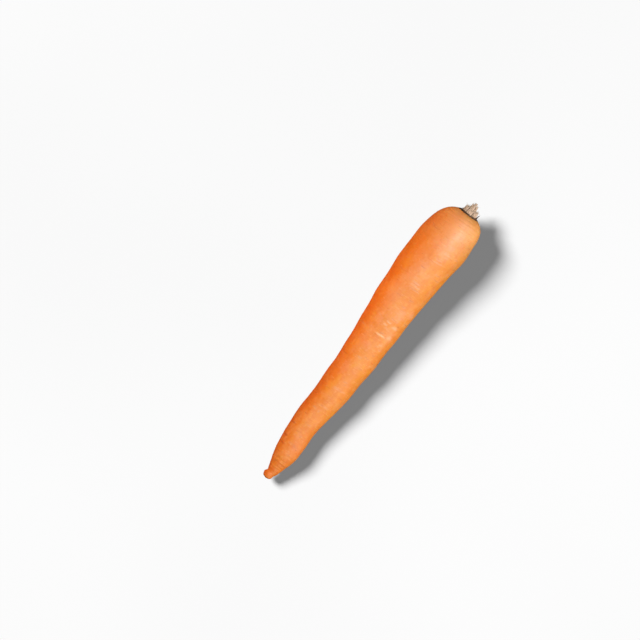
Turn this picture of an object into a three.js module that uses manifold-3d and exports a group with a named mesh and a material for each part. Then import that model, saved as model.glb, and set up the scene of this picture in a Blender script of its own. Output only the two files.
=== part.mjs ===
// A trimmed carrot lying on its side: the taproot, and the cluster of cut leaf-stalk bases that stands
// in the seat at its crown.
// Millimetres. +Z is up and the root rests on z = 0. +X points along the root towards its crown, and the
// origin is the middle of the carrot's box, on the surface that it rests on.
import * as THREE from "three";
import { mergeVertices } from "three/addons/utils/BufferGeometryUtils.js";
import Module from "manifold-3d";

const wasm = await Module();
wasm.setup();

// ---- Driving dimensions ------------------------------------------------------------------------------
const LENGTH = 186; // the root, from the rim of its crown to its tip
const RADIUS = 15.6; // the root at its widest, below the shoulder
const SEAT_RADIUS = 5.5; // the sunken seat of the leaf stalks, inside the rim of the crown
const SEAT_DEPTH = 2.4;
const TALLEST = 7.3; // the longest stalk base, above the rim
const SHORTEST = 1.3; // the lowest, on the other side of the seat
const GAP = 0.35; // clear space between the root and the stalk bases

const SIDES = 54; // facets round the root
const RINGS_PER_SPAN = 3; // rings of facets between two points of its outline

// ---- The root's outline and line ---------------------------------------------------------------------
// Half widths of the skin from the rim of the crown to the tip: [share of LENGTH, share of RADIUS].
const OUTLINE = [
  [0.0, 0.38],
  [0.005, 0.5],
  [0.015, 0.665],
  [0.03, 0.8],
  [0.05, 0.9],
  [0.08, 0.97],
  [0.121, 1.0],
  [0.181, 0.968],
  [0.302, 0.866],
  [0.422, 0.772],
  [0.543, 0.69],
  [0.664, 0.628],
  [0.769, 0.552],
  [0.814, 0.505],
  [0.86, 0.482],
  [0.9, 0.45],
  [0.928, 0.372],
  [0.95, 0.282],
  [0.965, 0.225],
  [0.974, 0.188],
  [0.98, 0.186],
  [0.986, 0.188],
  [0.992, 0.168],
  [0.9965, 0.128],
  [1.0, 0.0],
];
// The seat, from its floor on the axis to just inside the rim: [share of SEAT_DEPTH, share of SEAT_RADIUS].
const SEAT = [
  [1.0, 0.0],
  [1.0, 0.5],
  [0.96, 0.9],
  [0.6, 1.0],
  [0.15, 1.02],
];
// The middle of the root at each tenth of its length, from the rim to the tip: [sideways, height].
const MIDDLE = [
  [-0.15, 17.6],
  [1.2, 15.2],
  [2.3, 14.6],
  [2.6, 13.35],
  [1.9, 12.15],
  [0.65, 10.9],
  [0.4, 9.85],
  [0.95, 9.0],
  [2.25, 8.25],
  [0.85, 7.9],
  [0.55, 7.55],
];
// Slow swells that keep the root from being round: [waves round it, waves along it, height, phase].
const SWELLS = [
  [2, 1.3, 0.22, 0.4],
  [3, -2.1, 0.16, 2.2],
  [1, 7.4, 0.12, 1.1],
  [2, -9.6, 0.1, 4.0],
];
const SWELLS_FROM = 1.6 * SEAT_RADIUS; // they are whole where the root is thicker than this
const LOBES = 5; // broad folds that run from the seat over the shoulder
const LOBE_HEIGHT = 0.4;
const LOBE_PHASE = -0.5;
const LOBE_REACH = 0.07; // share of LENGTH over which they fade
const KNOB_LEAN = 1.0; // how far the knob at the tip is pushed sideways
const KNOB_NECK = 0.972; // shares of LENGTH between which the push grows
const KNOB_MIDDLE = 0.985;

const bell = (x) => Math.exp(-x * x);

// ---- Taproot -----------------------------------------------------------------------------------------
const line = new THREE.CatmullRomCurve3(
  MIDDLE.map(([side, height], i) => new THREE.Vector3((-LENGTH * i) / (MIDDLE.length - 1), side, height)),
  false,
  "catmullrom",
);

// The section across the root at this share of its length: its middle and its three directions. Seen from
// above it is always square to X. Seen from the side it is square to the line.
function sectionAt(share) {
  const inside = THREE.MathUtils.clamp(share, 0, 1);
  const along = line.getTangent(inside).setY(0).normalize();
  const middle = line.getPoint(inside).addScaledVector(along, (share - inside) * LENGTH);
  const side = new THREE.Vector3(0, 1, 0);
  middle.addScaledVector(side, KNOB_LEAN * THREE.MathUtils.smoothstep(share, KNOB_NECK, KNOB_MIDDLE));
  return { middle, along, side, up: new THREE.Vector3().crossVectors(side, along) };
}

// How far the skin stands out of the plain outline. The angle runs from the top towards +Y.
function swell(share, radius, angle) {
  const lobes = LOBE_HEIGHT * bell(share / LOBE_REACH) * Math.cos(LOBES * angle + LOBE_PHASE);
  const waves = SWELLS.map(([round, along, height, phase]) =>
    height * Math.cos(round * angle + along * share * Math.PI * 2 + phase));
  const fade = THREE.MathUtils.smoothstep(radius, SEAT_RADIUS, SWELLS_FROM);
  return fade * waves.reduce((sum, wave) => sum + wave, lobes);
}

// The outline is turned about its axis, then each ring is moved onto the root's bent line. What would
// sink under the surface that the root rests on is pressed flat, as the small spot that it lies on.
function taproot() {
  const seat = SEAT.map(([depth, radius]) => new THREE.Vector3(radius * SEAT_RADIUS, depth * SEAT_DEPTH, 0));
  const skin = OUTLINE.map(([share, radius]) => new THREE.Vector3(radius * RADIUS, share * LENGTH, 0));
  const outline = new THREE.CatmullRomCurve3([...seat, ...skin], false, "catmullrom");
  const profile = outline.getPoints(RINGS_PER_SPAN * (outline.points.length - 1));
  const lathe = new THREE.LatheGeometry(profile.map((p) => new THREE.Vector2(Math.max(p.x, 0), p.y)), SIDES);
  const places = lathe.getAttribute("position");
  for (let i = 0; i < places.count; i++) {
    const radius = Math.hypot(places.getX(i), places.getZ(i));
    const angle = Math.atan2(places.getX(i), places.getZ(i));
    const share = places.getY(i) / LENGTH;
    const { middle, side, up } = sectionAt(share);
    const reach = radius + swell(share, radius, angle);
    middle.addScaledVector(side, reach * Math.sin(angle)).addScaledVector(up, reach * Math.cos(angle));
    places.setXYZ(i, middle.x, middle.y, Math.max(middle.z, 0));
  }
  lathe.computeVertexNormals();
  return lathe;
}

// ---- Leaf-stalk bases --------------------------------------------------------------------------------
// They stand on +Z here, with z = 0 at the bottom of the foot that they share, x sideways and y up. The
// whole cluster is placed in the seat below.
const FOOT_RADIUS = 0.9 * SEAT_RADIUS - GAP;
const BROW_RADIUS = SEAT_RADIUS - GAP; // the foot where it passes the rim
const RIM_HEIGHT = SEAT_DEPTH - GAP;
const DOME_HEIGHT = 0.9; // the top of the foot, above the rim
const FOOT_SIDES = 40;
const SUNK = 0.9; // how high over the bottom of the foot the stalks start, inside it
// The stalks stand in rings round a pith: [stalks, radius at their middle, half thickness, turn].
const STALK_RINGS = [
  [3, 1.8, 0.6, 0.5],
  [6, 3.75, 0.82, 0.1],
];
const STALK_GAP = 0.32; // clear space between two stalks of a ring, at their roots
const PITH_RADIUS = 0.95;
const PITH_SIDES = 12;
const PEAK = new THREE.Vector2(0.1, 0); // where the longest stalks grow
const PEAK_REACH = 3.8; // over which the stalks get shorter
const PEAK_STEEPNESS = 2.4; // how flat the cluster is on top
const TAPER = 0.93; // what is left of a stalk's width at its cut
const EDGE_THINNING = 0.7; // how much thinner a stalk is at its two edges
const GATHER = 0.2; // how much closer together the stalks stand at the highest cut
const LEAN = new THREE.Vector2(-0.2, 0.2); // how far they lean there
const RIBS = 3; // along the outside of each stalk
const RIB_HEIGHT = 0.1;
const RAGGED = 0.24; // how much of a stalk is torn down at most
const STALK_SPLITS = 8; // strips across a stalk, each torn to its own height
const STALK_RISES = 4; // facets along it
const MERGE = 1e-3; // corners closer than this are one corner

// A repeatable random draw from 0 to 1.
let seed = 11;
function draw() {
  seed = (seed * 1664525 + 1013904223) % 4294967296;
  return seed / 4294967296;
}

function solidOf(geometry) {
  const bare = geometry.clone();
  bare.deleteAttribute("normal");
  bare.deleteAttribute("uv");
  const merged = mergeVertices(bare, MERGE);
  const vertProperties = merged.getAttribute("position").array;
  return new wasm.Manifold(new wasm.Mesh({ numProp: 3, vertProperties, triVerts: merged.index.array }));
}

function geometryOf(solid) {
  const { vertProperties, triVerts } = solid.getMesh();
  const geometry = new THREE.BufferGeometry();
  geometry.setAttribute("position", new THREE.BufferAttribute(vertProperties, 3));
  geometry.setIndex(new THREE.BufferAttribute(triVerts, 1));
  geometry.computeVertexNormals();
  return geometry;
}

// The height of the cut, over the bottom of the foot, of a stalk that grows here.
function cutHeight(x, y) {
  const near = Math.exp(-((Math.hypot(x - PEAK.x, y - PEAK.y) / PEAK_REACH) ** PEAK_STEEPNESS));
  return RIM_HEIGHT + SHORTEST + (TALLEST - SHORTEST) * near;
}

// The stalks draw together and lean, the more the higher they reach.
function gathered(x, y, height) {
  const share = (height / (RIM_HEIGHT + TALLEST)) ** 2;
  const closer = 1 - GATHER * share;
  return [x * closer + LEAN.x * share, y * closer + LEAN.y * share, height];
}

// A stalk is shaped from a unit block: its x runs round the cluster, its y outwards and its z up.
function stalk(middle, halfThick, turn, halfAngle) {
  const block = new THREE.BoxGeometry(1, 1, 1, STALK_SPLITS, 1, STALK_RISES);
  const top = cutHeight(middle * Math.sin(turn), middle * Math.cos(turn));
  const torn = Array.from({ length: STALK_SPLITS + 1 }, () => 1 - RAGGED * draw());
  const places = block.getAttribute("position");
  for (let i = 0; i < places.count; i++) {
    const across = 2 * places.getX(i);
    const out = 2 * places.getY(i);
    const up = places.getZ(i) + 0.5;
    const slim = 1 - (1 - TAPER) * up;
    const thick = halfThick * (1 - EDGE_THINNING * across ** 4);
    const rib = out > 0 ? RIB_HEIGHT * Math.cos(RIBS * Math.PI * across) : 0;
    const angle = turn + across * halfAngle * slim;
    const radius = middle + slim * (out * thick + rib);
    const share = up < 1 ? up : torn[Math.round(((across + 1) / 2) * STALK_SPLITS)];
    const height = SUNK + share * (top - SUNK);
    places.setXYZ(i, ...gathered(radius * Math.sin(angle), radius * Math.cos(angle), height));
  }
  return solidOf(block);
}

function pith() {
  const height = cutHeight(0, 0) - SUNK;
  const body = new THREE.CylinderGeometry(TAPER * PITH_RADIUS, PITH_RADIUS, height, PITH_SIDES, STALK_RISES);
  body.rotateX(Math.PI / 2).translate(0, 0, SUNK + height / 2);
  const places = body.getAttribute("position");
  for (let i = 0; i < places.count; i++)
    places.setXYZ(i, ...gathered(places.getX(i), places.getY(i), places.getZ(i)));
  return solidOf(body);
}

function foot() {
  const profile = [
    new THREE.Vector2(0, 0),
    new THREE.Vector2(FOOT_RADIUS, 0),
    new THREE.Vector2(BROW_RADIUS, RIM_HEIGHT),
    new THREE.Vector2(0.85 * BROW_RADIUS, RIM_HEIGHT + DOME_HEIGHT / 2),
    new THREE.Vector2(0, RIM_HEIGHT + DOME_HEIGHT),
  ];
  return solidOf(new THREE.LatheGeometry(profile, FOOT_SIDES).rotateX(Math.PI / 2));
}

function stalkBases() {
  let cluster = foot().add(pith());
  for (const [count, middle, halfThick, turn] of STALK_RINGS) {
    const halfAngle = Math.PI / count - STALK_GAP / middle / 2;
    for (let i = 0; i < count; i++) {
      const place = turn + (i * Math.PI * 2) / count;
      cluster = cluster.add(stalk(middle, halfThick, place, halfAngle));
    }
  }
  return geometryOf(cluster);
}

// ---- The carrot --------------------------------------------------------------------------------------
function part(name, geometry, color, roughness) {
  const mesh = new THREE.Mesh(geometry, new THREE.MeshStandardMaterial({ color, roughness, metalness: 0 }));
  mesh.name = name;
  return mesh;
}

const root = part("taproot", taproot(), 0xef8436, 0.45);
const bases = part("leaf_stalk_bases", stalkBases(), 0xb9a98a, 0.85);
const rim = sectionAt(0);
bases.position.copy(rim.middle).addScaledVector(rim.along, SEAT_DEPTH - GAP);
const outwards = rim.along.clone().negate();
bases.quaternion.setFromRotationMatrix(new THREE.Matrix4().makeBasis(rim.side, rim.up, outwards));

const carrot = new THREE.Group();
carrot.add(root, bases);
const centre = new THREE.Box3().setFromObject(carrot, true).getCenter(new THREE.Vector3());
carrot.position.set(-centre.x, -centre.y, 0);

const model = new THREE.Group();
model.add(carrot);
export default model;
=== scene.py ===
"""A trimmed carrot lying on its side, dressed for the picture: its skin, the cut leaf-stalk
bases with their torn fibres, and the dry scales round them. Sizes are in millimetres until a
mesh is made, then in metres."""

import math

import bmesh
import bpy
import numpy as np
from mathutils import Matrix, Vector


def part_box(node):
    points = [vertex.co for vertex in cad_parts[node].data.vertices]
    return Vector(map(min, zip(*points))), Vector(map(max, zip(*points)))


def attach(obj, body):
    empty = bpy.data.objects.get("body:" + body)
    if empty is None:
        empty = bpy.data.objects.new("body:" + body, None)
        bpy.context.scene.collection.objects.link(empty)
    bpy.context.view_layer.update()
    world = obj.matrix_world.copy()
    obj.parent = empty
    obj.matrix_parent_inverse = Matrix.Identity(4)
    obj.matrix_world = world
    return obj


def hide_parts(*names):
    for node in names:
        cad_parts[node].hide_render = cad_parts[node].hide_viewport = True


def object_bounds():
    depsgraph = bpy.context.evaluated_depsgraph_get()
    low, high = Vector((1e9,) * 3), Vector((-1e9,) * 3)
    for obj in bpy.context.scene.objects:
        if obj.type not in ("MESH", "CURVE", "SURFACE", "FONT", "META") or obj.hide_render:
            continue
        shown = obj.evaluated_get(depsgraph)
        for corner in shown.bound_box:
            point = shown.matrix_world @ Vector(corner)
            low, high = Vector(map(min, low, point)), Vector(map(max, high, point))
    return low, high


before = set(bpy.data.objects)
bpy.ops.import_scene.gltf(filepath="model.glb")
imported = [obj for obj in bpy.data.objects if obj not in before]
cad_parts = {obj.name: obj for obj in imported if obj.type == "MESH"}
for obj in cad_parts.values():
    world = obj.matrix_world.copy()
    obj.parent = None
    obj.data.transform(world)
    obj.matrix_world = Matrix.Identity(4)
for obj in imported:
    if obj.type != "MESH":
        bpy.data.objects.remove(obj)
cad_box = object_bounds()

MM = 0.001

# ---- The root's outline and line, as in the solid ----------------------------------------------
LENGTH = 186.0
RADIUS = 15.6
SEAT_RADIUS = 5.5
SEAT_DEPTH = 2.4
GAP = 0.35
# Half widths from the rim of the crown to the tip: share of LENGTH, share of RADIUS.
OUTLINE = [
    (0.0, 0.38), (0.005, 0.5), (0.015, 0.665), (0.03, 0.8), (0.05, 0.9), (0.08, 0.97),
    (0.121, 1.0), (0.181, 0.968), (0.302, 0.866), (0.422, 0.772), (0.543, 0.69), (0.664, 0.628),
    (0.769, 0.552), (0.814, 0.505), (0.86, 0.482), (0.9, 0.45), (0.928, 0.372), (0.95, 0.282),
    (0.965, 0.225), (0.974, 0.188), (0.98, 0.186), (0.986, 0.188), (0.992, 0.168),
    (0.9965, 0.128), (1.0, 0.0),
]
# The seat from its floor to just inside the rim: share of SEAT_DEPTH, share of SEAT_RADIUS.
SEAT = [(1.0, 0.0), (1.0, 0.5), (0.96, 0.9), (0.6, 1.0), (0.15, 1.02)]
# The middle of the root at each tenth of its length: sideways, height.
MIDDLE = [
    (-0.15, 17.6), (1.2, 15.2), (2.3, 14.6), (2.6, 13.35), (1.9, 12.15), (0.65, 10.9),
    (0.4, 9.85), (0.95, 9.0), (2.25, 8.25), (0.85, 7.9), (0.55, 7.55),
]
# Slow swells: waves round the root, waves along it, height, phase.
SWELLS = [(2, 1.3, 0.22, 0.4), (3, -2.1, 0.16, 2.2), (1, 7.4, 0.12, 1.1), (2, -9.6, 0.1, 4.0)]
SWELLS_FROM = 1.6 * SEAT_RADIUS
LOBES, LOBE_HEIGHT, LOBE_PHASE, LOBE_REACH = 5, 0.4, -0.5, 0.07
KNOB_LEAN, KNOB_NECK, KNOB_MIDDLE = 1.0, 0.972, 0.985

# ---- How fine the pieces are -------------------------------------------------------------------
SKIN_SIDES = 124
SKIN_RINGS = 780


def bell(x):
    return np.exp(-x * x)


def smoothstep(x, low, high):
    t = np.clip((x - low) / (high - low), 0, 1)
    return t * t * (3 - 2 * t)


def curve(points, share):
    """Places and directions on the smooth curve through the points, at shares of it from 0 to 1."""
    points = np.asarray(points, float)
    spans = len(points) - 1
    ends = np.vstack([2 * points[0] - points[1], points, 2 * points[-1] - points[-2]])
    at = np.clip(np.asarray(share, float), 0, 1) * spans
    first = np.minimum(at.astype(int), spans - 1)
    t = (at - first)[:, None]
    before, here, there, after = (ends[first + i] for i in range(4))
    rise, fall = (there - before) / 2, (after - here) / 2
    cubic = 2 * here - 2 * there + rise + fall
    square = 3 * there - 3 * here - 2 * rise - fall
    place = here + t * (rise + t * (square + t * cubic))
    way = rise + t * (2 * square + 3 * t * cubic)
    return place, way / np.linalg.norm(way, axis=1, keepdims=True)


def sections(share):
    """The middle of the root and its directions (along, sideways, up) at shares of its length."""
    inside = np.clip(share, 0, 1)
    last = len(MIDDLE) - 1
    line = [(-LENGTH * i / last, side, height) for i, (side, height) in enumerate(MIDDLE)]
    middle, along = curve(line, inside)
    along[:, 1] = 0
    along /= np.linalg.norm(along, axis=1, keepdims=True)
    middle = middle + along * ((share - inside) * LENGTH)[:, None]
    side = np.broadcast_to([0.0, 1.0, 0.0], along.shape)
    middle = middle + side * (KNOB_LEAN * smoothstep(share, KNOB_NECK, KNOB_MIDDLE))[:, None]
    return middle, along, side, np.cross(side, along)


def swell(share, radius, angle):
    total = LOBE_HEIGHT * bell(share / LOBE_REACH) * np.cos(LOBES * angle + LOBE_PHASE)
    for turns, waves, height, phase in SWELLS:
        total = total + height * np.cos(turns * angle + waves * share * math.tau + phase)
    return smoothstep(radius, SEAT_RADIUS, SWELLS_FROM) * total


def field(places, wavelength, seed, waves=28):
    """A smooth random field over places in space, about -1 to 1. wavelength is one size, or one
    for each axis."""
    rng = np.random.default_rng(seed)
    ways = rng.normal(size=(waves, 3))
    ways /= np.linalg.norm(ways, axis=1, keepdims=True)
    ways *= rng.uniform(0.6, 1.4, size=(waves, 1)) * math.tau / np.broadcast_to(wavelength, 3)
    phases = rng.uniform(0, math.tau, waves)
    total = np.zeros(len(places))
    for way, phase in zip(ways, phases):
        total += np.cos(places @ way + phase)
    return total / math.sqrt(waves / 2) / 1.6


def mesh_object(name, places, faces):
    """A smoothly shaded mesh object from places in millimetres."""
    mesh = bpy.data.meshes.new(name)
    mesh.from_pydata((np.asarray(places) * MM).tolist(), [], faces)
    mesh.update()
    mesh.validate()
    mesh.polygons.foreach_set("use_smooth", [True] * len(mesh.polygons))
    made = bpy.data.objects.new(name, mesh)
    bpy.context.scene.collection.objects.link(made)
    return made


def store(made, name, values):
    """Keeps one number for each corner of the mesh, for its material."""
    values = np.asarray(values, np.float32)
    made.data.attributes.new(name, "FLOAT", "POINT").data.foreach_set("value", values)


# ---- Skin --------------------------------------------------------------------------------------
def grid():
    """Share of the length and radius of each ring of the skin, from the seat to the tip, and the
    angles of its sides."""
    seat = [(radius * SEAT_RADIUS, depth * SEAT_DEPTH) for depth, radius in SEAT]
    skin = [(radius * RADIUS, share * LENGTH) for share, radius in OUTLINE]
    fine, _ = curve(seat + skin, np.linspace(0, 1, 40 * SKIN_RINGS))
    steps = np.linalg.norm(np.diff(fine, axis=0), axis=1)
    walked = np.concatenate([[0], np.cumsum(steps)])
    even = np.linspace(0, walked[-1], SKIN_RINGS)
    radius = np.maximum(np.interp(even, walked, fine[:, 0]), 0)
    share = np.interp(even, walked, fine[:, 1]) / LENGTH
    radius[0] = radius[-1] = 0
    angle = np.arange(SKIN_SIDES) * math.tau / SKIN_SIDES
    return share, radius, angle


# Cross scars where side roots grew, placed on the upper side as the photo shows them: share of
# LENGTH, angle from the top in degrees towards +Y, half length, half width, depth, paleness.
SCARS = [
    (0.442, -14, 3.2, 0.23, 0.12, 1.2), (0.436, -40, 1.7, 0.5, 0.08, 0.65),
    (0.402, -36, 2.1, 0.42, 0.1, 0.9), (0.395, -12, 1.5, 0.3, 0.1, 0.8),
    (0.407, -7, 1.2, 0.28, 0.08, 0.9), (0.415, -16, 1.4, 0.24, 0.08, 0.5),
    (0.467, -30, 1.2, 0.34, 0.1, 0.6), (0.482, -38, 1.3, 0.3, 0.1, 0.5),
    (0.475, -22, 0.9, 0.26, 0.08, 0.3), (0.391, 21, 1.5, 0.3, 0.06, 0.4),
    (0.252, -8, 2.4, 0.22, 0.06, 0.55), (0.262, -11, 3.2, 0.24, 0.08, 0.75),
    (0.27, -8, 1.9, 0.22, 0.06, 0.45), (0.257, -7, 1.7, 0.2, 0.08, 0.0),
    (0.241, -3, 1.4, 0.26, 0.06, 0.4), (0.135, -19, 2.0, 0.3, 0.08, 0.6),
    (0.144, -23, 1.3, 0.24, 0.06, 0.45), (0.162, -14, 2.1, 0.2, 0.08, 0.5),
    (0.171, -18, 2.3, 0.2, 0.08, 0.45), (0.203, 3, 1.5, 0.2, 0.12, 0.0),
    (0.132, -46, 1.8, 0.3, 0.1, 0.3), (0.127, 6, 1.3, 0.26, 0.06, 0.3),
    (0.306, -28, 1.6, 0.32, 0.1, 0.3), (0.334, -21, 1.4, 0.3, 0.08, 0.25),
    (0.62, -12, 1.4, 0.28, 0.08, 0.3), (0.735, 16, 1.4, 0.28, 0.1, 0.35),
    (0.79, -14, 1.3, 0.3, 0.1, 0.35), (0.868, 8, 1.4, 0.3, 0.1, 0.35),
    (0.824, 3, 1.5, 0.24, 0.08, 0.05), (0.16, -68, 2.6, 0.36, 0.12, 0.0),
    (0.812, 52, 2.2, 0.36, 0.16, 0.0), (0.838, 58, 1.4, 0.3, 0.12, 0.0),
    (0.857, 56, 1.9, 0.36, 0.16, 0.0), (0.881, 48, 2.0, 0.34, 0.14, 0.0),
    (0.908, 52, 1.4, 0.3, 0.12, 0.0), (0.935, 25, 1.2, 0.3, 0.1, 0.0),
    (0.939, -50, 2.6, 0.44, 0.12, 0.0), (0.7, 55, 1.4, 0.3, 0.12, 0.0),
]
# Blotches, pink ones (partly pink skin, partly painted highlights) and then those of a deeper
# orange (partly deeper orange skin, partly painted shade on the flanks): share of LENGTH, angle as
# above, half length along the root, half width, strength.
PINK_AND_HIGHLIGHT_BLOTCHES = [
    (0.058, -20, 3.0, 2.6, 0.95), (0.038, -12, 4.5, 4.5, 0.5), (0.109, -19, 2.6, 2.4, 0.75),
    (0.141, -17, 4.6, 3.2, 0.4), (0.363, -28, 4.6, 3.6, 0.6), (0.343, -58, 2.6, 2.6, 0.8),
    (0.403, 15, 3.6, 3.0, 0.6), (0.42, -32, 4.5, 3.6, 0.4), (0.441, -41, 2.4, 3.0, 0.35),
    (0.491, 11, 3.6, 3.0, 0.5), (0.259, -10, 4.0, 3.4, 0.25), (0.21, 14, 4.6, 3.4, 0.4),
    (0.32, 8, 4.2, 3.0, 0.4), (0.58, 20, 6.0, 3.2, 0.5), (0.83, 4, 4.6, 2.2, 0.15),
    (0.055, 12, 6.5, 6.5, 0.6), (0.12, 10, 8.0, 6.5, 0.65), (0.175, 22, 8.0, 6.0, 0.5),
    (0.148, -55, 3.0, 3.0, 0.3), (0.3, 18, 23.0, 5.0, 0.5), (0.47, 24, 14.0, 3.4, 0.4),
    (0.026, 4, 3.6, 8.5, 0.8), (0.225, 12, 14.0, 5.0, 0.62), (0.26, -57, 5.0, 3.0, 0.35),
    (0.17, -57, 4.0, 3.0, 0.3),
]
ORANGE_AND_SHADE_BLOTCHES = [
    (0.86, -52, 13.0, 5.5, 0.8), (0.93, -40, 8.0, 4.5, 0.7), (0.79, -70, 9.0, 5.0, 0.5),
    (0.07, 62, 9.0, 7.0, 0.6), (0.24, 57, 15.0, 5.0, 0.55), (0.42, 58, 22.0, 4.5, 0.6),
    (0.64, 60, 24.0, 4.0, 0.5), (0.12, 44, 7.0, 4.0, 0.45), (0.87, -16, 9.0, 6.0, 0.4),
    (0.74, -22, 9.0, 4.5, 0.3), (0.8, -28, 7.0, 4.0, 0.4), (0.095, -38, 5.0, 3.5, 0.35),
    (0.58, -20, 5.0, 3.0, 0.4),
]
RING_SCAR = (0.771, -21, 1.25, 0.3, 0.6)  # share, angle, radius, half width, paleness
# Random scars all round the root: side roots grow in four rows, which wind a little.
ROWS_OF_SCARS = 4
SCARS_PER_ROW = 26
FIRST_ROW, ROW_STEP, ROW_TWIST, ROW_SPREAD = 40, 90, 50, 13  # degrees
SCAR_SEED = 21
# Waves of the skin, and the ripple across it: wavelength, height, seed.
SKIN_WAVES = [(17, 0.08, 3), (7, 0.03, 4), (2.6, 0.012, 12)]
CROSS_WAVES = [((1.5, 16, 16), 1.0, 5), ((0.85, 9, 9), 0.6, 6)]
CROSS_HEIGHT = 0.022
RING_SCAR_HEIGHT = 0.06
BARE_AT, BARE_REACH = math.radians(-36), math.radians(20)  # where the rim's dark collar, partly cork and partly painted shade, is paler


def all_scars():
    rng = np.random.default_rng(SCAR_SEED)
    rows = []
    for row in range(ROWS_OF_SCARS):
        for _ in range(SCARS_PER_ROW):
            share = rng.uniform(0.06, 0.97)
            angle = FIRST_ROW + ROW_STEP * row + rng.normal(0, ROW_SPREAD) + ROW_TWIST * share
            long = rng.uniform(0.9, 2.6) * (1.15 - 0.6 * share)
            wide, deep = rng.uniform(0.24, 0.38), rng.uniform(0.03, 0.14)
            rows.append((share, angle, long, wide, deep, rng.uniform(0.05, 0.5)))
    return SCARS + rows


def blotched(rows, share, radius, angle, ragged):
    """How strong the blotches are at each corner."""
    total = np.zeros(len(share))
    for at, turn, long, wide, strength in rows:
        off = (angle - math.radians(turn) + math.pi) % math.tau - math.pi
        away = np.hypot((share - at) * LENGTH / long, off * radius / wide) + 0.3 * ragged
        total = np.maximum(total, strength * smoothstep(away, 1.3, 0.3))
    return total


def waves_of(rows, places):
    return sum(height * field(places, wavelength, seed) for wavelength, height, seed in rows)


def relief(share, radius, angle, places):
    """How far each corner stands out of the smooth skin, and how pale, dark, pink and orange it
    is there; the pink is partly painted highlight and the orange partly painted shade."""
    fade = smoothstep(radius, 1.02 * SEAT_RADIUS, 1.5 * SEAT_RADIUS)
    fade = np.maximum(fade, smoothstep(share, 0.5, 0.6) * smoothstep(radius, 0.2, 2.0))
    up = waves_of(SKIN_WAVES, places)
    cross = waves_of(CROSS_WAVES, places)
    patchy = 0.5 + 0.5 * field(places, 15, 7)
    ends = bell(share / 0.09) + 0.9 * bell((share - 0.97) / 0.07)
    up = up + CROSS_HEIGHT * cross * (0.35 + 0.9 * np.clip(patchy, 0, 1) + 1.3 * ends)
    ragged = field(places, 1.7, 8)
    broken = 0.5 + 0.5 * field(places, 2.2, 9)
    pale, dark = np.zeros((2, len(share)))
    for at, turn, long, wide, deep, white in all_scars():
        reach = np.abs(share - at) * LENGTH < 5 * wide + 1.2
        part = np.nonzero(reach)[0]
        off = (angle[part] - math.radians(turn) + math.pi) % math.tau - math.pi
        across = off * radius[part] / long
        drift = (0.5 * wide * np.sin(3.1 * across + 40 * at) + 0.2 * across * wide
                 + 0.4 * wide * ragged[part])
        along = ((share[part] - at) * LENGTH - drift) / wide
        shape = np.exp(-(across ** 4))
        slit = shape * bell(along)
        lips = shape * (bell(along - 1.7) + bell(along + 1.7))
        whole = white * np.clip(0.7 + 0.5 * broken[part], 0, 1)
        up[part] += deep * (0.4 * lips - slit)
        light = whole * shape * np.clip(bell(along / 1.3) + 0.3 * lips, 0, 1)
        shade = slit * (0.25 + 2.2 * deep) * (1 - 0.75 * white)
        pale[part] = np.maximum(pale[part], light)
        dark[part] = np.maximum(dark[part], shade)
    # Pink blotches: partly pink skin, partly painted highlights.
    pink_and_highlight = blotched(PINK_AND_HIGHLIGHT_BLOTCHES, share, radius, angle, ragged)
    # Deeper orange blotches: partly deeper orange skin, partly painted shade on the flanks.
    orange_and_shade = blotched(ORANGE_AND_SHADE_BLOTCHES, share, radius, angle, ragged)
    at, turn, size, wide, white = RING_SCAR
    away = np.hypot((share - at) * LENGTH, (angle - math.radians(turn)) * radius)
    ring = bell((away - size) / wide)
    pale = np.maximum(pale, white * ring)
    up += RING_SCAR_HEIGHT * ring
    return up * fade, pale * fade, dark * fade, pink_and_highlight * fade, orange_and_shade * fade


def skin():
    share, radius, angle = grid()
    share, angle = (a.ravel() for a in np.meshgrid(share, angle, indexing="ij"))
    radius = np.repeat(radius, SKIN_SIDES)
    middle, along, side, up = sections(share)
    reach = radius + swell(share, radius, angle)
    outward = side * np.sin(angle)[:, None] + up * np.cos(angle)[:, None]
    places = middle + outward * reach[:, None]
    low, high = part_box("taproot")
    own = (places.min(0) + places.max(0)) / 2
    box_x, box_y = (low.x + high.x) / 2 / MM, (low.y + high.y) / 2 / MM
    shift = np.array([box_x - own[0], box_y - own[1], 0.0])
    rings = places.reshape(SKIN_RINGS, SKIN_SIDES, 3)
    down = np.gradient(rings, axis=0)
    turn = np.roll(rings, -1, axis=1) - np.roll(rings, 1, axis=1)
    normal = np.cross(turn, down).reshape(-1, 3)
    normal /= np.maximum(np.linalg.norm(normal, axis=1, keepdims=True), 1e-9)
    height, pale, dark, pink_and_highlight, orange_and_shade = relief(share, radius, angle, places)
    places = places + normal * height[:, None]
    places[:, 2] = np.maximum(places[:, 2], 0)
    places += shift
    # The first and the last ring are one point each: the seat's floor and the tip.
    corners = np.arange(SKIN_RINGS * SKIN_SIDES).reshape(SKIN_RINGS, SKIN_SIDES)
    corners[0], corners[-1] = corners[0, 0], corners[-1, 0]
    next_ = np.roll(corners, -1, axis=1)
    quads = np.stack([corners[:-1], corners[1:], next_[1:], next_[:-1]], axis=-1)
    used, numbers = np.unique(quads, return_inverse=True)
    numbers = numbers.reshape(quads.shape)
    faces = [(a, b, c) for a, b, c, _ in numbers[0].tolist()]
    faces += numbers[1:-1].reshape(-1, 4).tolist()
    faces += [(a, b, d) for a, b, _, d in numbers[-1].tolist()]
    made = mesh_object("carrot_skin", places[used], faces)
    store(made, "bare", bell((angle[used] - BARE_AT) / BARE_REACH))
    for name, values in [("share", share), ("radius", radius), ("pale", pale), ("dark", dark),
                         ("pink_and_highlight", pink_and_highlight), ("orange_and_shade", orange_and_shade)]:
        store(made, name, values[used])
    return made, shift


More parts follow.
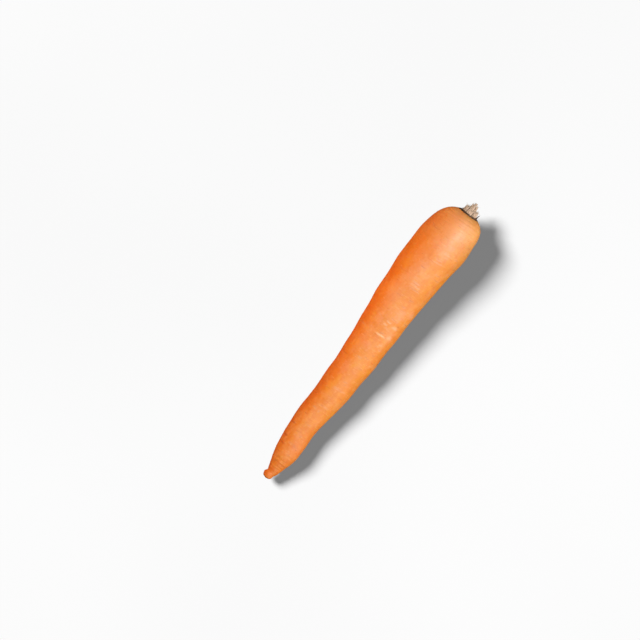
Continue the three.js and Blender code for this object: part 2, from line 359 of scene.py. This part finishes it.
# ---- Leaf-stalk bases --------------------------------------------------------------------------
RIM_HEIGHT = SEAT_DEPTH - GAP
STALK_VOXEL = 0.1
FIBRES, FIBRE_SEED, FIBRE_STEPS = 170, 8, 6
FIBRE_LENGTH, FIBRE_WIDTH = (0.5, 1.7), (0.07, 0.15)
FIBRE_ROOT = -0.25  # how far it is sunk into the stalk, as a share of its length
SCALES, SCALE_SEED = 24, 14
SCALE_RISES, SCALE_SPANS = 6, 6
SCALE_RADIUS, SCALE_FOOT = 5.0, 0.7  # where they stand, and how far under the rim they begin
STRAY_SCALE = np.array([(-4.95, 1.2, 1.8), (-5.5, 1.6, 5.4)])


class Seat:
    """The seat's own frame: sideways, up and outwards, in millimetres from the bottom of the
    stalks' foot."""

    def __init__(self, shift):
        middle, along, side, up = (a[0] for a in sections(np.array([0.0])))
        self.axes = np.array([side, up, -along])
        self.foot = middle + along * (SEAT_DEPTH - GAP) + shift

    def inside(self, places):
        return (places - self.foot) @ self.axes.T

    def outside(self, places):
        return np.asarray(places) @ self.axes + self.foot


def node_copy(node, name):
    """A welded copy of a CAD node, to be shaped further."""
    made = bpy.data.objects.new(name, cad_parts[node].data.copy())
    bpy.context.scene.collection.objects.link(made)
    made.data.materials.clear()
    shape = bmesh.new()
    shape.from_mesh(made.data)
    bmesh.ops.remove_doubles(shape, verts=shape.verts, dist=1e-6)
    shape.to_mesh(made.data)
    shape.free()
    return made


def apply_modifiers(made):
    """Turns the object's modifiers into mesh."""
    graph = bpy.context.evaluated_depsgraph_get()
    mesh = bpy.data.meshes.new_from_object(made.evaluated_get(graph))
    made.modifiers.clear()
    made.data = mesh


def corner_array(mesh, what):
    values = np.zeros(len(mesh.vertices) * 3, np.float32)
    mesh.vertices.foreach_get(what, values)
    return values.reshape(-1, 3).astype(float)


def stalk_bases(seat):
    """The CAD cluster at a finer grain: its edges worn, its sides fibrous and its cuts torn."""
    made = node_copy("leaf_stalk_bases", "stalk_bases")
    remesh = made.modifiers.new("fine", "REMESH")
    remesh.mode = "VOXEL"
    remesh.voxel_size = STALK_VOXEL * MM
    worn = made.modifiers.new("worn", "SMOOTH")
    worn.factor = 0.5
    worn.iterations = 3
    apply_modifiers(made)
    mesh = made.data
    places = corner_array(mesh, "co") / MM
    normal = corner_array(mesh, "normal")
    grain = seat.inside(places)
    facing = normal @ seat.axes[2]
    cut = smoothstep(facing, 0.35, 0.85)
    above = grain[:, 2] - RIM_HEIGHT
    free = smoothstep(above, -0.3, 0.5)
    fibre = field(grain, (0.42, 0.42, 5.0), 31) + 0.6 * field(grain, (0.24, 0.24, 3.0), 32)
    torn = field(grain, 0.55, 33) + 0.7 * field(grain, 0.3, 34)
    height = free * (0.08 * fibre * (1 - cut) + (0.05 + 0.09 * cut) * torn)
    places += normal * height[:, None]
    places[:, 0] = np.minimum(places[:, 0], cad_box[1].x / MM)
    mesh.vertices.foreach_set("co", (places * MM).astype(np.float32).ravel())
    mesh.update()
    mesh.polygons.foreach_set("use_smooth", [True] * len(mesh.polygons))
    store(made, "above", above)
    store(made, "cut", cut)
    store(made, "fibre", fibre)
    mesh.attributes.new("grain", "FLOAT_VECTOR", "POINT").data.foreach_set(
        "vector", grain.astype(np.float32).ravel())
    return made


def blade(path, widths, flat, sides=5):
    """Corners and faces of a closed strip along a path, flattened in one direction."""
    path = np.asarray(path, float)
    way = np.gradient(path, axis=0)
    way /= np.linalg.norm(way, axis=1, keepdims=True)
    first = np.cross(way, flat)
    first /= np.linalg.norm(first, axis=1, keepdims=True)
    second = np.cross(way, first)
    angles = np.arange(sides) * math.tau / sides
    places, faces = [], []
    for middle, a, b, wide in zip(path, first, second, widths):
        places += [middle + wide * (a * math.cos(t) + 0.5 * b * math.sin(t)) for t in angles]
    for ring in range(len(path) - 1):
        for i in range(sides):
            j = (i + 1) % sides
            here, there = ring * sides, (ring + 1) * sides
            faces.append((here + i, here + j, there + j, there + i))
    faces.append(tuple(reversed(range(sides))))
    faces.append(tuple(range((len(path) - 1) * sides, len(path) * sides)))
    return places, faces


def joined(name, parts):
    """One mesh object from several (places, faces), in millimetres, with a number for each part."""
    places, faces, part = [], [], []
    for number, (some, their) in enumerate(parts):
        faces += [tuple(i + len(places) for i in face) for face in their]
        places += list(some)
        part += [number / len(parts)] * len(some)
    made = mesh_object(name, places, faces)
    store(made, "part", part)
    return made


def stalk_fibres(seat, bases):
    """Torn ends of the stalks' fibres, which stand out of the cuts."""
    rng = np.random.default_rng(FIBRE_SEED)
    mesh = bases.data
    places = seat.inside(corner_array(mesh, "co") / MM)
    normal = corner_array(mesh, "normal") @ seat.axes.T
    cuts = np.nonzero((normal[:, 2] > 0.55) & (places[:, 2] > RIM_HEIGHT + 1.2))[0]
    limit = cad_box[1].x / MM
    parts, tries = [], 0
    while len(parts) < FIBRES and tries < 20 * FIBRES:
        tries += 1
        foot = places[rng.choice(cuts)]
        long = rng.uniform(*FIBRE_LENGTH)
        way = np.array([0, 0, 1.0]) + 0.45 * rng.normal(size=3)
        way /= np.linalg.norm(way)
        bend = 0.35 * rng.normal(size=3)
        steps = np.linspace(FIBRE_ROOT, 1, FIBRE_STEPS)[:, None]
        path = foot + steps * long * way + (steps * np.abs(steps)) * bend * long * 0.5
        if seat.outside(path)[:, 0].max() > limit:
            continue
        widths = rng.uniform(*FIBRE_WIDTH) * np.linspace(1, 0.25, FIBRE_STEPS)
        parts.append(blade(seat.outside(path), widths, rng.normal(size=3)))
    return joined("stalk_fibres", parts)


def seat_scales(seat):
    """Dry brown scales of older leaves, in a ragged ring in the seat, round the stalks."""
    rng = np.random.default_rng(SCALE_SEED)
    rises, spans = SCALE_RISES, SCALE_SPANS
    parts = []
    for i in range(SCALES):
        turn = (i + rng.uniform(-0.25, 0.25)) * math.tau / SCALES
        tall = rng.uniform(0.35, 0.9) + 0.5 * (rng.random() < 0.2)
        half = 0.5 * math.tau / SCALES * rng.uniform(1.1, 1.7)
        flare = rng.uniform(0.1, 0.35)
        thick = rng.uniform(0.07, 0.12)
        places, faces = [], []
        for side in (1, -1):
            for r in range(rises + 1):
                up = r / rises
                for s in range(spans + 1):
                    off = 2 * s / spans - 1
                    narrow = math.sqrt(max(0.0, 1 - 0.85 * up ** 2.2))
                    angle = turn + off * half * narrow
                    edge = 1 - 0.75 * abs(off) ** 3
                    away = flare * up ** 1.6
                    radius = SCALE_RADIUS + away + side * thick * edge * (1 - 0.5 * up)
                    ragged = 0.12 * math.sin(9 * off + 5 * i) * up
                    rise = (tall + SCALE_FOOT) * up * (1 - 0.25 * off * off)
                    height = RIM_HEIGHT - SCALE_FOOT + rise + ragged
                    places.append((radius * math.sin(angle), radius * math.cos(angle), height))
        row = spans + 1
        back = row * (rises + 1)
        for r in range(rises):
            for s in range(spans):
                a = r * row + s
                faces.append((a, a + 1, a + row + 1, a + row))
                faces.append((back + a, back + a + row, back + a + row + 1, back + a + 1))
        rim = list(range(row)) + [r * row + spans for r in range(1, rises + 1)]
        rim += [rises * row + s for s in range(spans - 1, -1, -1)]
        rim += [r * row for r in range(rises - 1, 0, -1)]
        for a, b in zip(rim, rim[1:] + rim[:1]):
            faces.append((a, back + a, back + b, b))
        parts.append((seat.outside(np.array(places)), faces))
    # One long brown point stands by itself at the right of the seat.
    root, top = STRAY_SCALE
    steps = np.linspace(0, 1, 9)[:, None]
    path = root + (top - root) * steps + np.array([0.35, 0, 0]) * np.sin(math.pi * steps)
    parts.append(blade(seat.outside(path), 0.42 * (1 - steps[:, 0]) ** 0.6 + 0.05, seat.axes[1]))
    return joined("seat_scales", parts)


# ---- Materials ---------------------------------------------------------------------------------
class Graph:
    """A material's nodes, made one call at a time. A value may be a number, a colour or another
    node's output."""

    def __init__(self, name):
        self.material = bpy.data.materials.new(name)
        self.material.use_nodes = True
        self.tree = self.material.node_tree
        self.shader = self.tree.nodes["Principled BSDF"]

    def node(self, kind, inputs, **settings):
        made = self.tree.nodes.new("ShaderNode" + kind)
        for key, value in settings.items():
            setattr(made, key, value)
        for key, value in inputs.items():
            self.put(made.inputs[key], value)
        return made

    def put(self, socket, value):
        if isinstance(value, bpy.types.NodeSocket):
            self.tree.links.new(value, socket)
        elif isinstance(value, tuple) and socket.type == "RGBA":
            socket.default_value = (*value, 1.0)
        else:
            socket.default_value = value

    def set(self, **values):
        for key, value in values.items():
            self.put(self.shader.inputs[key.replace("_", " ")], value)

    def place(self):
        """The place on the object, in millimetres."""
        where = self.node("TexCoord", {}).outputs["Object"]
        return self.node("VectorMath", {0: where, "Scale": 1 / MM}, operation="SCALE").outputs[0]

    def stretched(self, vector, sizes):
        """The vector divided by one size for each axis, so a texture on it has those sizes."""
        return self.node("VectorMath", {0: vector, 1: sizes}, operation="DIVIDE").outputs[0]

    def noise(self, vector, size, detail=2.0, rough=0.5, twist=0.0):
        inputs = {"Vector": vector, "Scale": 1 / size, "Detail": detail, "Roughness": rough,
                  "Distortion": twist}
        return self.node("TexNoise", inputs).outputs["Fac"]

    def attribute(self, name, output="Fac"):
        return self.node("Attribute", {}, attribute_name=name).outputs[output]

    def times(self, a, b, clamp=False):
        return self.node("Math", {0: a, 1: b}, operation="MULTIPLY", use_clamp=clamp).outputs[0]

    def plus(self, a, b):
        return self.node("Math", {0: a, 1: b}, operation="ADD").outputs[0]

    def spread(self, value, low, high, to_low=0.0, to_high=1.0):
        """The value taken from the range low to high onto to_low to to_high, held at its ends."""
        inputs = {"Value": value, "From Min": low, "From Max": high, "To Min": to_low,
                  "To Max": to_high}
        return self.node("MapRange", inputs, interpolation_type="SMOOTHSTEP").outputs[0]

    def mix(self, factor, a, b):
        made = self.node("Mix", {}, data_type="RGBA")
        self.put(made.inputs[0], factor)
        self.put(made.inputs[6], a)
        self.put(made.inputs[7], b)
        return made.outputs[2]

    def layers(self, colour, rows):
        """The colour with each tint of the rows laid over it in turn: how much of it, tint."""
        for factor, tint in rows:
            colour = self.mix(factor, colour, tint)
        return colour

    def bump(self, height, strength, distance):
        inputs = {"Height": height, "Strength": strength, "Distance": distance * MM}
        return self.node("Bump", inputs).outputs["Normal"]


def skin_material():
    g = Graph("carrot_skin")
    mm = g.place()
    share, radius = g.attribute("share"), g.attribute("radius")
    pale, dark, pink_and_highlight = g.attribute("pale"), g.attribute("dark"), g.attribute("pink_and_highlight")
    broad = g.noise(mm, 22, 2)
    blush = g.noise(g.stretched(mm, (9.0, 6.0, 6.0)), 1.0, 3, 0.62, 0.4)
    yellow = g.noise(g.stretched(mm, (11.0, 5.0, 5.0)), 1.0, 3, 0.6, 0.6)
    mottle = g.noise(mm, 2.6, 3, 0.6)
    cross = g.noise(g.stretched(mm, (1.3, 9.0, 9.0)), 1.0, 3, 0.6, 0.3)
    dashes = g.noise(g.stretched(mm, (0.5, 3.2, 3.2)), 1.0, 2, 0.55)
    creases = g.noise(g.stretched(mm, (0.7, 5.0, 5.0)), 1.0, 2, 0.5, 0.4)
    long = g.noise(g.stretched(mm, (24.0, 1.8, 1.8)), 1.0, 2)
    pale_shoulder_and_highlight = g.spread(share, 0.32, 0.04)
    pale_cap_and_highlight = g.spread(share, 0.17, 0.07)
    tail = g.spread(share, 0.5, 1.0)
    neck = g.spread(share, 0.945, 0.965)
    colour = g.mix(g.spread(broad, 0.3, 0.7), (0.65, 0.18, 0.006), (0.66, 0.2, 0.009))
    colour = g.layers(colour, [
        (g.times(pale_shoulder_and_highlight, 0.5), (0.67, 0.24, 0.026)),  # paler shoulder: partly paler skin, partly a painted highlight
        (g.times(tail, 0.5), (0.62, 0.155, 0.004)),  # redder tail
        (g.spread(blush, 0.47, 0.64, 0, 0.55), (0.69, 0.255, 0.058)),  # blush
        (g.spread(yellow, 0.52, 0.7, 0, 0.6), (0.68, 0.245, 0.006)),  # yellow streaks
        (g.spread(yellow, 0.44, 0.3, 0, 0.45), (0.6, 0.145, 0.005)),  # deeper between them
        (g.times(pale_cap_and_highlight, 0.42), (0.655, 0.32, 0.13)),  # pale cap: partly paler skin, partly a painted highlight
        (g.spread(share, 0.085, 0.035, 0, 0.38), (0.78, 0.36, 0.1)),  # paler by the crown: partly paler skin, partly a painted highlight
        (g.times(neck, 0.9), (0.6, 0.135, 0.0)),  # neck of the knob
        (g.spread(mottle, 0.52, 0.7, 0, 0.45), (0.71, 0.285, 0.055)),  # light mottle
        (g.spread(mottle, 0.46, 0.28, 0, 0.4), (0.58, 0.13, 0.005)),  # dark mottle
        (g.spread(cross, 0.5, 0.72, 0, 0.3), (0.69, 0.26, 0.034)),  # light ripple
        (g.spread(cross, 0.42, 0.2, 0, 0.35), (0.54, 0.11, 0.008)),  # dark ripple
        (g.spread(dashes, 0.6, 0.72, 0, 0.45), (0.76, 0.36, 0.14)),  # pale dashes
        (g.spread(creases, 0.36, 0.24, 0, 0.45), (0.43, 0.085, 0.008)),  # creases
        (g.spread(long, 0.55, 0.8, 0, 0.2), (0.58, 0.125, 0.01)),  # long streaks
        (g.times(g.attribute("orange_and_shade"), 0.75), (0.6, 0.135, 0.003)),  # deeper orange blotches: partly deeper orange skin, partly painted shade
        (g.times(pink_and_highlight, 0.6), (0.72, 0.29, 0.14)),  # pink blotches: partly pink skin, partly painted highlights
        (g.times(pale, 0.75, clamp=True), (0.8, 0.47, 0.25)),  # pale scars
        (g.times(dark, 0.8, clamp=True), (0.34, 0.055, 0.006)),  # dark scars
    ])
    specks = g.node("TexVoronoi", {"Vector": mm, "Scale": 0.28}).outputs["Distance"]
    sparse = g.spread(g.noise(mm, 12, 1), 0.52, 0.62)
    speckled = g.times(g.spread(specks, 0.085, 0.04), sparse)
    colour = g.mix(speckled, colour, (0.33, 0.1, 0.02))
    bare = g.attribute("bare")
    edge = g.plus(radius, g.spread(g.noise(mm, 1.6, 3), 0.3, 0.7, -0.7, 0.7))
    crown = g.times(g.spread(edge, 8.2, 5.9), g.spread(share, 0.05, 0.02))
    colour = g.mix(g.times(crown, 0.55), colour, (0.43, 0.16, 0.03))
    # A dark collar on the lip round the seat: partly dark cork, partly painted shade of the gap
    # round the stalks.
    edge = g.plus(radius, g.spread(g.noise(mm, 1.9, 3, 0.6), 0.3, 0.7, -0.28, 0.28))
    collar = g.times(g.spread(edge, 6.8, 6.15), g.spread(share, 0.05, 0.02))
    cork_and_shade = g.mix(bare, (0.05, 0.02, 0.007), (0.36, 0.16, 0.07))
    colour = g.mix(collar, colour, cork_and_shade)
    along = g.spread(share, 0.1, 0.5, 0.46, 0.6)
    rough = g.plus(g.spread(mottle, 0.3, 0.7, -0.06, 0.08), along)
    rough = g.plus(rough, g.times(pale, 0.15))
    grain = g.noise(mm, 0.5, 3, 0.6)
    height = g.plus(g.times(grain, 0.5), g.times(dashes, 0.9))
    height = g.plus(height, g.times(g.spread(creases, 0.24, 0.4), 0.8))
    height = g.plus(height, g.times(cross, 0.8))
    height = g.plus(height, g.times(mottle, 0.8))
    g.set(Base_Color=colour, Roughness=rough, Normal=g.bump(height, 0.6, 0.16))
    g.set(Coat_Weight=0.12, Coat_Roughness=0.3)
    g.set(Subsurface_Weight=0.16, Subsurface_Scale=0.004)
    g.set(Subsurface_Radius=(1.0, 0.3, 0.08), Specular_IOR_Level=0.62)
    return g.material


def stalk_material():
    g = Graph("dried_stalk")
    grain = g.attribute("grain", "Vector")
    above, cut, fibre = g.attribute("above"), g.attribute("cut"), g.attribute("fibre")
    strands = g.noise(g.stretched(grain, (0.3, 0.3, 3.0)), 1.0, 3, 0.6)
    patches = g.noise(g.stretched(grain, (1.2, 1.2, 2.4)), 1.0, 3, 0.6)
    spots = g.noise(grain, 0.8, 3, 0.65)
    colour = g.mix(g.spread(strands, 0.35, 0.65), (0.44, 0.285, 0.185), (0.6, 0.425, 0.3))
    colour = g.mix(g.spread(patches, 0.52, 0.7, 0, 0.7), colour, (0.54, 0.37, 0.28))
    colour = g.mix(g.spread(patches, 0.42, 0.28, 0, 0.6), colour, (0.42, 0.33, 0.15))
    colour = g.mix(g.times(cut, 0.4), colour, (0.62, 0.48, 0.35))
    colour = g.mix(g.spread(spots, 0.58, 0.7, 0, 0.5), colour, (0.2, 0.125, 0.07))
    # Painted shade in the grooves between the fibres, where their relief is lowest.
    colour = g.mix(g.spread(fibre, -0.5, -1.4, 0, 0.6), colour, (0.24, 0.15, 0.09))
    # The stalks darker at their foot by the rim: partly brown cork, partly painted shade of the
    # gap.
    foot = g.plus(above, g.spread(spots, 0.3, 0.7, -0.3, 0.3))
    colour = g.mix(g.spread(foot, 0.8, 0.2), colour, (0.07, 0.035, 0.015))
    height = g.plus(strands, g.times(spots, 0.5))
    g.set(Base_Color=colour, Roughness=g.spread(strands, 0.2, 0.8, 0.75, 0.95))
    g.set(Normal=g.bump(height, 0.7, 0.1))
    return g.material


def fibre_material():
    g = Graph("torn_fibre")
    mm = g.place()
    part = g.attribute("part")
    colour = g.mix(g.spread(part, 0.0, 1.0), (0.4, 0.28, 0.19), (0.6, 0.46, 0.33))
    colour = g.mix(g.spread(g.noise(mm, 0.4, 2), 0.5, 0.7, 0, 0.7), colour, (0.34, 0.22, 0.13))
    g.set(Base_Color=colour, Roughness=g.spread(g.noise(mm, 0.3, 2), 0.3, 0.7, 0.7, 0.95))
    g.set(Normal=g.bump(g.noise(mm, 0.15, 2), 0.5, 0.04))
    return g.material


def scale_material():
    g = Graph("dry_scale")
    mm = g.place()
    part = g.attribute("part")
    grain = g.noise(mm, 0.5, 3, 0.6)
    colour = g.mix(g.spread(grain, 0.35, 0.7), (0.045, 0.02, 0.01), (0.16, 0.075, 0.03))
    colour = g.mix(g.spread(g.noise(mm, 1.4, 2), 0.55, 0.7, 0, 0.5), colour, (0.25, 0.15, 0.07))
    colour = g.mix(g.times(part, 0.2), colour, (0.1, 0.06, 0.03))
    g.set(Base_Color=colour, Roughness=g.spread(grain, 0.3, 0.7, 0.6, 0.9))
    g.set(Normal=g.bump(grain, 0.6, 0.06))
    return g.material


# ---- Floor, lights and camera ------------------------------------------------------------------
# Where the crown's rim lies in the picture, how the root's line is turned there, and the scale.
PICTURE_PIXELS = 640
RIM_PIXEL = (467.9, 213.9)
LINE_ANGLE = math.radians(53.14)
MM_PER_PIXEL = 0.557
# The camera, the floor and the usual distance of a lamp, in metres. The camera's distance is a
# guess, and it aims at this height above the floor.
CAMERA_ELEVATION = math.radians(93)
CAMERA_DISTANCE = 1.8
MIDDLE_HEIGHT = 13.0 * MM
SENSOR = 36.0
FLOOR_RADIUS, FLOOR_SIDES = 12.0, 96
LAMP_DISTANCE = 1.2
# How strong the sky is as light, and as the backdrop that the camera sees.
SKY = 0.25
BACKDROP = 0.93
WHITE = (1.0, 1.0, 1.0)
NEIGHBOUR = (-1.0, 0.75, 0.18)  # the direction of the carrots beside this one in the photo
FAR = Vector(), LAMP_DISTANCE
CLOSE = Vector((0.0216, 0.0, 0.014)), 0.09
# Lamps on the carrot: direction (right and up the picture, above the floor), watts, size,
# colour, the pieces they light, whether they show in the gloss, and where they aim from how far.
LAMPS = [
    ("softbox", (0.56, -0.31, 1.0), 25.8, 2.5, WHITE, "carrot", True, FAR),
    ("soft_overhead", (0.48, -0.11, 1.0), 5.3, 0.4, WHITE, "carrot", True, FAR),
    ("warm_bounce", NEIGHBOUR, 11.8, 0.5, (1.0, 0.42, 0.06), "skin", False, FAR),
    ("warm_touch", NEIGHBOUR, 0.021, 0.05, (1.0, 0.4, 0.04), "skin", False, CLOSE),
    ("stalk_fill", (-1.0, 0.75, 0.3), 4.0, 0.5, (1.0, 0.8, 0.6), "stalks", False, FAR),
    ("side_fill", (0.85, -0.62, 0.3), 1.2, 0.9, WHITE, "carrot", True, FAR),
]
SUN_WAY, SUN_STRENGTH, SUN_ANGLE = (-0.62, 0.5, 0.82), 3.9, math.radians(20)


def floor():
    bpy.ops.mesh.primitive_circle_add(vertices=FLOOR_SIDES, radius=FLOOR_RADIUS,
                                      fill_type="NGON", location=(0, 0, 0))
    made = bpy.context.object
    made.name = "floor"
    g = Graph("floor")
    mm = g.place()
    tone = g.spread(g.noise(mm, 400, 2), 0.3, 0.7, 0.83, 0.86)
    colour = g.node("CombineColor", {0: tone, 1: tone, 2: tone}).outputs[0]
    g.set(Base_Color=colour, Roughness=0.9, Specular_IOR_Level=0.1)
    made.data.materials.append(g.material)
    made.visible_diffuse = False
    made.visible_glossy = False
    return made


def picture_axes():
    """The directions to the right and up the picture, as they lie on the floor."""
    right = Vector((math.cos(LINE_ANGLE), -math.sin(LINE_ANGLE), 0))
    up = Vector((math.sin(LINE_ANGLE), math.cos(LINE_ANGLE), 0))
    return right, up


def camera(shift):
    right, floor_up = picture_axes()
    half = PICTURE_PIXELS / 2
    off_right = (half - RIM_PIXEL[0]) * MM_PER_PIXEL * MM
    off_up = (RIM_PIXEL[1] - half) * MM_PER_PIXEL * MM
    rim = Vector((shift[0] * MM, shift[1] * MM, MIDDLE_HEIGHT))
    aim = rim + right * off_right + floor_up * off_up
    back = Vector((0, 0, math.sin(CAMERA_ELEVATION))) - floor_up * math.cos(CAMERA_ELEVATION)
    up = floor_up * math.sin(CAMERA_ELEVATION) + Vector((0, 0, math.cos(CAMERA_ELEVATION)))
    data = bpy.data.cameras.new("camera")
    data.sensor_width = SENSOR
    data.lens = SENSOR * CAMERA_DISTANCE / (PICTURE_PIXELS * MM_PER_PIXEL * MM)
    data.clip_start, data.clip_end = 0.02, 50
    made = bpy.data.objects.new("camera", data)
    turn = Matrix((right, up, back)).transposed().to_4x4()
    made.matrix_world = Matrix.Translation(aim + back * CAMERA_DISTANCE) @ turn
    bpy.context.scene.collection.objects.link(made)
    bpy.context.scene.camera = made


def lamp(name, kind, way, energy, receivers, blockers=None, glossy=True, near=FAR):
    """A light from that direction: right and up the picture, and above the floor. near is the
    place that it aims at and its distance from there."""
    right, floor_up = picture_axes()
    towards = (right * way[0] + floor_up * way[1] + Vector((0, 0, way[2]))).normalized()
    data = bpy.data.lights.new(name, kind)
    data.energy = energy
    made = bpy.data.objects.new(name, data)
    aim, distance = near
    made.location = aim + towards * distance
    made.rotation_euler = towards.to_track_quat("Z", "Y").to_euler()
    made.visible_camera = False
    made.visible_glossy = glossy
    made.light_linking.receiver_collection = receivers
    made.light_linking.blocker_collection = blockers
    bpy.context.scene.collection.objects.link(made)
    return data


def group(name, members):
    made = bpy.data.collections.new(name)
    for member in members:
        made.objects.link(member)
    return made


def lights(ground, carrot, stalks):
    world = bpy.data.worlds.new("studio")
    bpy.context.scene.world = world
    world.use_nodes = True
    sky = world.node_tree.nodes["Background"]
    sky.inputs["Color"].default_value = (1, 1, 1, 1)
    seen = world.node_tree.nodes.new("ShaderNodeMapRange")
    seen.inputs["To Min"].default_value, seen.inputs["To Max"].default_value = SKY, BACKDROP
    path = world.node_tree.nodes.new("ShaderNodeLightPath")
    world.node_tree.links.new(path.outputs["Is Camera Ray"], seen.inputs["Value"])
    world.node_tree.links.new(seen.outputs[0], sky.inputs["Strength"])
    world.cycles_visibility.glossy = False
    on_floor = group("lit_floor", [ground])
    lit = {"carrot": group("lit_carrot", [carrot, *stalks]), "skin": group("lit_skin", [carrot]),
           "stalks": group("lit_stalks", stalks)}
    for name, way, energy, size, colour, pieces, glossy, near in LAMPS:
        data = lamp(name, "AREA", way, energy, lit[pieces], glossy=glossy, near=near)
        data.shape, data.size, data.color = "DISK", size, colour
    sun = lamp("floor_light", "SUN", SUN_WAY, SUN_STRENGTH, on_floor, blockers=lit["carrot"])
    sun.angle = SUN_ANGLE


# ---- The scene ---------------------------------------------------------------------------------
carrot, shift = skin()
seat = Seat(shift)
bases = stalk_bases(seat)
fibres = stalk_fibres(seat, bases)
scales = seat_scales(seat)
for piece, material, slot in [
    (carrot, skin_material(), "carrot_skin"),
    (bases, stalk_material(), "dried_stalk"),
    (fibres, fibre_material(), "dried_stalk"),
    (scales, scale_material(), "dried_stalk"),
]:
    piece.data.materials.append(material)
    piece.visible_diffuse = False
    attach(piece, "root")
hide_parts("taproot")
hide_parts("leaf_stalk_bases")

ground = floor()
camera(shift)
lights(ground, carrot, [bases, fibres, scales])
bpy.context.scene.view_settings.view_transform = "Standard"
